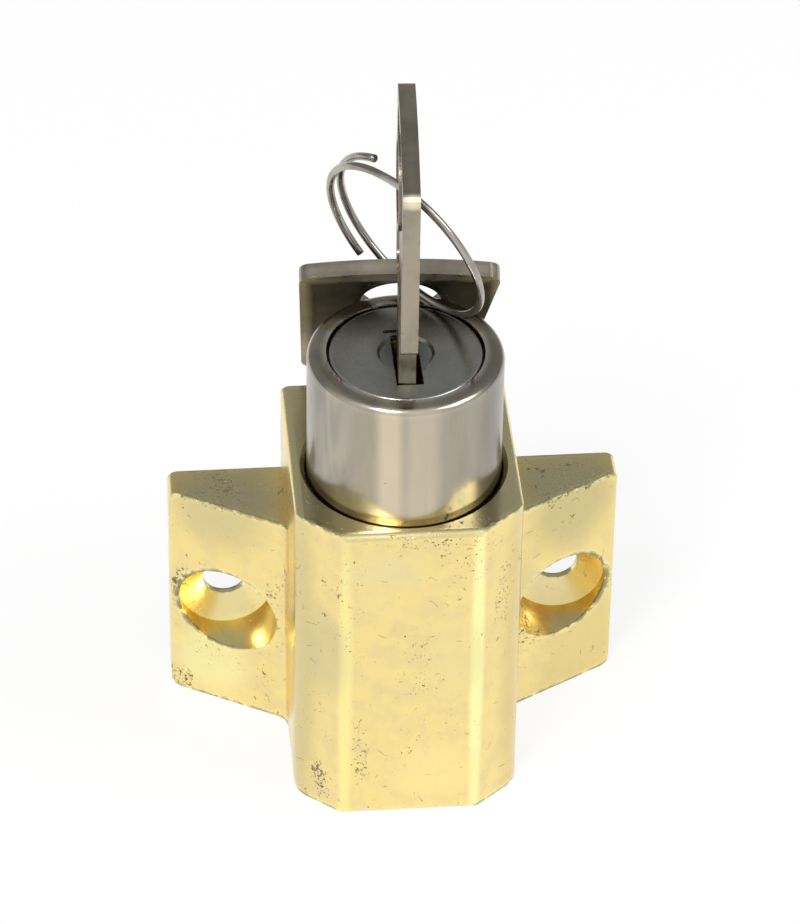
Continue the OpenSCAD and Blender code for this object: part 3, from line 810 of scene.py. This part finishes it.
def dress(nodes: list[str], material: bpy.types.Material) -> None:
    """Gives solids of the frame a finish.

    Args:
        nodes: the solids' names.
        material: the finish's material.
    """
    for name in nodes:
        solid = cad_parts[name]
        if not solid.material_slots:
            solid.data.materials.append(material)
        for place in solid.material_slots:
            place.link = "OBJECT"
            place.material = material
        LOG.info("dressed %s in %s", name, material.name)


def settle(piece: bpy.types.Object, body: Body, material: bpy.types.Material, node: str) -> None:
    """Finishes a new piece.

    Args:
        piece: the piece.
        body: the body that it rides on.
        material: its finish.
        node: the solid that it stands for.
    """
    piece.data.materials.append(material)
    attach(piece, body.value)
    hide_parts(node)
    LOG.info("made %s on %s", piece.name, body.value)


@dataclass(frozen=True)
class Spring:
    """A wound spring in the place of a plain one.

    Attributes:
        wire: radius of its wire.
        turns: turns of the wire.
        steps: circles of the wire's tube in one turn.
        sides: sides of the wire's tube.
        upright: whether it is wound about Z; it is wound about Y if not.
    """

    wire: float
    turns: float
    steps: int
    sides: int
    upright: bool

    def wind(self, name: str, node: str) -> bpy.types.Object:
        """Winds the spring in a solid's box, as wide as the box along X and as long as it.

        Args:
            name: the new object's name.
            node: the solid's name.

        Returns:
            The wound spring. One that is wound about Y is a helix about Z with Y and Z exchanged.
        """
        low, high = (np.array(corner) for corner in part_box(node))
        order = [0, 1, 2] if self.upright else [0, 2, 1]
        axis = order.index(2)
        path = helix((high[0] - low[0]) / 2 - self.wire, low[axis] + self.wire, high[axis] - self.wire,
                     0.0, 360 * self.turns, int(self.steps * self.turns) + 1)
        middle = (low + high) / 2
        middle[axis] = 0.0
        return tube_mesh(name, path[:, order] + middle, self.wire, self.sides)


@dataclass
class Housing:
    """The cast and plated housing with its ears, and the guide pin in its back.

    Attributes:
        plating: the bright plating, worn on the edges, with spots of painted light and shade.
        pin: the guide pin's steel.
    """

    plating: Finish = Finish(
        "brass_plating", colour=(0.94, 0.755, 0.31), tint=(0.86, 0.69, 0.33), dirt=(0.19, 0.16, 0.09),
        # Its edges are lightened, partly as rubbed metal and partly as a painted highlight
        shine=0.24, pits=0.68, wear=0.5, scratches=0.09, ripple=0.012 * MM, edge_rub_and_highlight_colour=(1.0, 0.96, 0.46), edge_rub_and_highlight=0.5,
        polish=0.75, blotch=2.8 * MM,
        spots=(
            # Upright edges of the front face, lightened as a painted highlight
            Spot((7.6, -27.9, 7), (1.3, 1.3, 40), (1.0, 1.0, 0.47), 0.9),
            Spot((-7.6, -27.9, 4), (1.3, 1.3, 34), (1.0, 0.90, 0.36), 0.8),
            # Slanted faces beside it, darkened as painted shade
            Spot((-12.9, -24, 6), (3.4, 5, 40), (0.66, 0.56, 0.27), 0.7),
            Spot((12.9, -24, 6), (3.6, 5, 40), (0.70, 0.56, 0.24), 0.6),
            # Ears, with painted light and shade: darker tops and lower right, paler screw holes' pockets and
            # a bright lower left
            Spot((20, -6, 13), (9, 7, 9), (0.56, 0.49, 0.24), 0.7),
            Spot((-20, -6, 14), (9, 7, 7), (0.62, 0.54, 0.28), 0.6),
            Spot((22, -5, -9), (9, 7, 12), (0.74, 0.60, 0.25), 0.6),
            Spot((-19.6, -5, -0.5), (6.0, 9, 6.2), (0.90, 0.80, 0.46), 0.8),
            Spot((19.6, -5, -0.5), (6.0, 9, 6.2), (0.90, 0.80, 0.46), 0.8),
            Spot((-21, -5, -8.5), (7, 7, 6.5), (1.0, 0.92, 0.44), 0.7),
            # Level faces on top of the body and of the ears, darkened as painted shade
            Spot((0, -14, 27.5), (40, 40, 1.1), (0.66, 0.62, 0.40), 0.8),
            Spot((-19.8, -5, 15.8), (9, 8, 1.1), (0.66, 0.61, 0.38), 0.8),
            Spot((19.8, -5, 15.8), (9, 8, 1.1), (0.66, 0.61, 0.38), 0.8),
            # Lighter and darker places of the front and of the sides
            Spot((3, -28, -8), (7, 3, 6), (1.0, 0.82, 0.36), 0.6),
            Spot((14.2, -8.5, 3), (3, 4, 9), (0.70, 0.60, 0.30), 0.6),
            Spot((-10, -26.4, 9), (4, 4, 9), (0.64, 0.56, 0.30), 0.6),
            Spot((-3, -28, 22), (6, 3, 4), (0.84, 0.74, 0.38), 0.6),
            Spot((5, -28, 9), (5, 3, 7), (0.86, 0.74, 0.36), 0.5),
            # Where pits gather: the body's upper edge, its slanted edges, and the ears' edges and pockets
            Spot((0.5, -27.5, 26), (9.5, 3, 1.3)),
            Spot((-5.8, -27.8, -5), (1.6, 3, 9)),
            Spot((-10.5, -27, -10), (2, 4, 4)),
            Spot((-20, -6, 15.2), (9, 7, 0.9)),
            Spot((20, -6, 15.2), (9, 7, 0.9)),
            Spot((-25, -4, -12.5), (3, 4, 3)),
            Spot((-24.5, -4, 2), (2, 4, 6)),
            Spot((16, -9, -4), (3, 4, 4)),
            Spot((-14, -9, 4), (3, 4, 7)),
            Spot((10.5, -26, 16), (2, 4, 6)),
        ))
    pin: Finish = Finish("guide_pin_steel", colour=grey(0.5), tint=grey(0.42), pits=0.1)

    def build(self) -> None:
        """Dresses the housing and its pin."""
        dress(["housing"], self.plating.material())
        dress(["guide_pin"], self.pin.material())


@dataclass
class Plunger:
    """The round plunger and what hangs under it: the carrier, the bolt, its pin and the return spring.

    Attributes:
        plating: the plunger's nickel, with bands of painted reflection and shade.
        steel: the steel of the pieces under it.
        spring: the return spring.
        pressed: share of the spring's height that is left when the plunger is in; not used.
    """

    plating: Finish = Finish(
        "nickel_plating", colour=(0.46, 0.41, 0.33), tint=(0.33, 0.31, 0.265), shine=0.22, pits=0.2,
        # Its edges, such as the rim's, are lightened, partly as rubbed metal and partly as a painted
        # highlight
        wear=0.15, scratches=0.03, ripple=0.01 * MM, blotch=2.2 * MM, streak=5.0, edge_rub_and_highlight_colour=(0.9, 0.88, 0.84),
        edge_rub_and_highlight=0.5, polish=0.85,
        spots=(
            # Upright bands of painted reflection and shade: light in front and darker towards both sides
            Spot((-2.7, -26, 34), (2.2, 5, 30), (0.74, 0.62, 0.44), 0.8),
            Spot((1.1, -26, 34), (2.9, 5, 30), (0.63, 0.54, 0.40), 0.7),
            Spot((-5.6, -25.5, 34), (2.6, 5, 30), (0.41, 0.36, 0.27), 0.6),
            Spot((5.6, -24.5, 34), (4.0, 5, 30), (0.37, 0.335, 0.265), 0.7),
            Spot((10.4, -19, 34), (4.5, 9, 30), (0.22, 0.20, 0.17), 0.7),
            Spot((-10.9, -18, 34), (2.6, 6, 30), (0.24, 0.22, 0.18), 0.5),
            # The level face of the rim, darkened as painted shade, and pits on its right
            Spot((0, -14.9, 43.4), (16, 16, 1.2), (0.23, 0.215, 0.18), 0.8),
            Spot((9, -21, 42.5), (3, 4, 2)),
        ))
    steel: Finish = Finish("bolt_steel", colour=grey(0.50), tint=grey(0.44), shine=0.3, pits=0.1, wear=0.2)
    spring: Spring = Spring(wire=0.6 * MM, turns=5.5, steps=40, sides=12, upright=True)
    pressed: float = 0.485

    def build(self) -> None:
        """Dresses the solids and winds the return spring."""
        dress(["plunger"], self.plating.material())
        steel = self.steel.material()
        dress(["bolt", "bolt_carrier", "cross_pin"], steel)
        coil = self.spring.wind("return_spring_coil", "return_spring")
        settle(coil, Body.HOUSING, steel, "return_spring")
        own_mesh(coil)


@dataclass
class LockPlug:
    """The plug with its face cap, its clip, the latch and the wafers with their springs.

    Attributes:
        brass: the machined brass of the plug and the wafers.
        face: the turned steel of the face cap.
        steel: the steel of the small parts.
        wafers: number of wafers.
        spring: the spring behind each of them.
    """

    brass: Finish = Finish("machined_brass", colour=(0.62, 0.48, 0.22), tint=(0.5, 0.4, 0.2), shine=0.35,
                           pits=0.15)
    face: TurnedFinish = TurnedFinish(
        "face_steel", colour=(0.40, 0.40, 0.37), tint=(0.33, 0.34, 0.325), shine=0.3, pits=0.15, wear=0.1,
        scratches=0.06, ripple=0.004 * MM, centre=(0.0, PLUNGER_Y, 0.0), blotch=6 * MM,
        spots=(
            # Painted shade in the dimple round the slot, and the grey far side
            Spot((-0.3, -14.6, 43), (4.2, 5.2, 4), (0.10, 0.10, 0.095), 0.7),
            Spot((-5, -9, 43), (5, 4, 4), (0.24, 0.235, 0.22), 0.6),
        ))
    steel: Finish = Finish("small_steel", colour=grey(0.5), tint=grey(0.45), shine=0.3, pits=0.1)
    wafers: int = 5
    spring: Spring = Spring(wire=0.12 * MM, turns=7, steps=16, sides=6, upright=False)

    def build(self) -> None:
        """Dresses the solids and winds the wafers' springs."""
        numbers = range(1, self.wafers + 1)
        dress(["lock_plug"] + [f"wafer_{number}" for number in numbers], self.brass.material())
        dress(["plug_face_cap"], self.face.material())
        steel = self.steel.material()
        dress(["retaining_clip", "drive_pin", "latch_slider"], steel)
        for number in numbers:
            node = f"wafer_spring_{number}"
            coil = self.spring.wind(f"wafer_spring_coil_{number}", node)
            settle(coil, Body.PLUG, steel, node)


@dataclass
class Keys:
    """The inserted key, the spare key and the wire ring that joins them.

    Attributes:
        nickel: the inserted key's dull plating.
        dull: the spare key's, whose sunk field is darkened as painted shade.
        steel: the ring's drawn wire.
        ring_radius: mean radius of the ring.
        wire: radius of its wire.
        pitch: rise of the wire in one turn.
        start: angle where the wire starts, in degrees.
        sweep: angle that it goes through, in degrees.
        middle: the ring's centre.
        tilt: lean of the ring's axis from upright, in degrees.
        bearing: direction of that lean, in degrees.
        count: points along the wire.
        sides: sides of the wire's tube.
    """

    nickel: Finish = Finish(
        "key_plating", colour=(0.39, 0.34, 0.26), tint=(0.30, 0.27, 0.21), shine=0.32, pits=0.3, wear=0.1,
        scratches=0.08, ripple=0.008 * MM,
        spots=(
            # The bow's front corner as a painted highlight, and the painted shade where the blade enters the
            # plug
            Spot((-0.5, -25.4, 70.9), (2.2, 1.3, 1.5), (0.95, 0.85, 0.62), 0.95),
            Spot((-0.4, -21, 47), (3, 4, 3.0), (0.16, 0.14, 0.11), 0.8),
        ))
    # Its sunk field is darkened as painted shade
    dull: KeyFinish = KeyFinish(
        "spare_key_plating", colour=(0.40, 0.36, 0.29), tint=(0.30, 0.27, 0.215), shine=0.34, pits=0.35,
        wear=0.1, scratches=0.08, ripple=0.008 * MM, middle=(0.73 * MM, -0.65 * MM, 37.12 * MM),
        turn=(25.0, -0.9, -4.2), half=(10.9 * MM, 3 * MM, 10.3 * MM))
    steel: Finish = Finish("ring_wire", colour=(0.46, 0.43, 0.385), tint=(0.29, 0.265, 0.225), shine=0.25,
                           pits=0.2, wear=0.0, scratches=0.2, ripple=0.004 * MM)
    ring_radius: float = 10.85 * MM
    wire: float = 0.45 * MM
    pitch: float = 1.64 * MM
    start: float = 50.0
    sweep: float = 473.0
    middle: Place = (0.57 * MM, -8.78 * MM, 53.93 * MM)
    tilt: float = 72.45
    bearing: float = 40.3
    count: int = 240
    sides: int = 20

    def build(self) -> None:
        """Dresses the keys and bends the ring."""
        dress(["inserted_key"], self.nickel.material())
        dress(["spare_key"], self.dull.material())
        settle(self.bend_ring(), Body.RING, self.steel.material(), "key_ring")

    def bend_ring(self) -> bpy.types.Object:
        """Bends the ring: a helix of 1.3 turns about its centre, leaned about Y, turned about Z and moved.

        Returns:
            The ring.
        """
        rise = self.pitch * self.sweep / 360
        path = helix(self.ring_radius, -rise / 2, rise / 2, self.start, self.sweep, self.count)
        lean = Matrix.Rotation(math.radians(self.tilt), 3, "Y")
        turn = np.array(Matrix.Rotation(math.radians(self.bearing), 3, "Z") @ lean)
        return tube_mesh("key_ring_wire", path @ turn.T + np.array(self.middle), self.wire, self.sides)


@dataclass(frozen=True)
class Lamp:
    """A square area lamp.

    Attributes:
        name: the lamp's name.
        place: where it hangs.
        side: the length of its side.
        watts: its power.
    """

    name: str
    place: Place
    side: float
    watts: float

    def hang(self, aim: Place) -> None:
        """Hangs the lamp so that it looks at a place.

        Args:
            aim: the place.
        """
        light = bpy.data.lights.new(self.name, "AREA")
        light.size = self.side
        light.energy = self.watts
        turn = (Vector(self.place) - Vector(aim)).to_track_quat("Z", "Y").to_matrix().to_4x4()
        show(self.name, light).matrix_world = Matrix.Translation(self.place) @ turn


@dataclass
class Studio:
    """The floor, the light and the camera.

    Attributes:
        eye: the camera's place.
        yaw: its turn about the upright axis, in degrees.
        pitch: its tilt above the horizon, in degrees; it looks down where this is negative.
        roll: its roll, in degrees.
        focal_pixels: its focal length in pixels of the photograph's width.
        nearest: the least distance that it shows.
        farthest: the greatest distance that it shows.
        floor_reach: half the floor's side.
        floor_colour: the floor's colour.
        floor_roughness: its roughness.
        floor_white: how much of the floor is plain white in the picture; the rest keeps the shadow.
        sky_front: the surroundings' brightness in front of the object.
        sky_back: their brightness behind it.
        front_end: how far back the front's brightness goes, from -1 in front to 1 behind.
        back_start: where the back's brightness starts.
        aim: the place that the lamps look at.
        lamps: the lamps.
    """

    eye: Place = (-44.816 * MM, -468.497 * MM, 391.622 * MM)
    yaw: float = -5.588
    pitch: float = -38.639
    roll: float = 0.971
    focal_pixels: float = 5181.2
    nearest: float = 0.01
    farthest: float = 20.0
    floor_reach: float = 3.0
    floor_colour: Colour = grey(0.9)
    floor_roughness: float = 0.9
    floor_white: float = 0.8
    sky_front: float = 0.85
    sky_back: float = 0.34
    front_end: float = -0.5
    back_start: float = 0.45
    aim: Place = (0.0, PLUNGER_Y, 20 * MM)
    lamps: tuple[Lamp, ...] = (Lamp("key_lamp", (-0.3, -0.5, 0.8), side=0.25, watts=5.0),
                               Lamp("fill_lamp", (0.6, -0.25, 0.7), side=0.5, watts=2.5))

    def build(self) -> None:
        """Sets up the floor, the surroundings, the lamps and the camera."""
        self.lay_floor()
        self.light_surroundings()
        for lamp in self.lamps:
            lamp.hang(self.aim)
        self.place_camera()

    def lay_floor(self) -> None:
        """Lays a wide floor under the housing that the camera sees as nearly plain white."""
        low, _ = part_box("housing")
        far = self.floor_reach
        mesh = bpy.data.meshes.new("floor")
        corners = [(-far, -far, low.z), (far, -far, low.z), (far, far, low.z), (-far, far, low.z)]
        mesh.from_pydata(corners, [], [(0, 1, 2, 3)])
        floor = show("floor", mesh)
        material, sheet, shader = new_material("floor_white")
        shader.inputs["Base Color"].default_value = rgba(self.floor_colour)
        shader.inputs["Roughness"].default_value = self.floor_roughness
        white = sheet.add("Emission", {"Color": rgba(grey(1.0)), "Strength": 1.0})
        rays = sheet.add("LightPath").outputs
        straight = sheet.plus(rays["Is Camera Ray"], rays["Is Glossy Ray"])
        seen = sheet.math("ADD", straight, rays["Is Transmission Ray"], True)
        share = sheet.times(seen, self.floor_white)
        both = sheet.add("MixShader", {0: share, 1: shader.outputs[0], 2: white.outputs[0]})
        sheet.feed(material.node_tree.nodes["Material Output"].inputs["Surface"], both.outputs[0])
        mesh.materials.append(material)

    def light_surroundings(self) -> None:
        """Makes the surroundings soft grey, bright in front of the object and darker behind it."""
        world = bpy.data.worlds.new("surroundings")
        bpy.context.scene.world = world
        world.use_nodes = True
        world.node_tree.nodes.clear()
        sheet = NodeSheet(world.node_tree)
        way = sheet.split(sheet.add("TexCoord").outputs["Generated"])
        level = sheet.remap(way["Y"], self.front_end, self.back_start, self.sky_front, self.sky_back,
                            smooth=True)
        soft = sheet.add("Background", {"Color": rgba(grey(1.0)), "Strength": level})
        sheet.add("OutputWorld", {"Surface": soft.outputs[0]})

    def place_camera(self) -> None:
        """Places the camera as the photograph's: level axes turned by yaw, pitch and roll."""
        yaw, pitch, roll = (math.radians(angle) for angle in (self.yaw, self.pitch, self.roll))
        forward = Vector((-math.sin(yaw) * math.cos(pitch), math.cos(yaw) * math.cos(pitch), math.sin(pitch)))
        level = Vector((math.cos(yaw), math.sin(yaw), 0.0))
        over = level.cross(forward)
        right = math.cos(roll) * level + math.sin(roll) * over
        up = -math.sin(roll) * level + math.cos(roll) * over
        axes = Matrix((right, up, -forward)).transposed().to_4x4()
        camera = bpy.data.cameras.new("camera")
        camera.sensor_fit = "HORIZONTAL"
        camera.lens = self.focal_pixels * camera.sensor_width / IMAGE_WIDTH
        camera.clip_start = self.nearest
        camera.clip_end = self.farthest
        holder = show("camera", camera)
        holder.matrix_world = Matrix.Translation(self.eye) @ axes
        bpy.context.scene.camera = holder


def main() -> None:
    """Builds the sub-assemblies in order and reports each piece."""
    logging.basicConfig(level=logging.INFO, format="%(name)s: %(message)s")
    bpy.context.scene.view_settings.view_transform = "Standard"
    for part in (Housing(), Plunger(), LockPlug(), Keys(), Studio()):
        part.build()
        LOG.info("%s is finished", type(part).__name__)


if __name__ == "__main__":
    main()
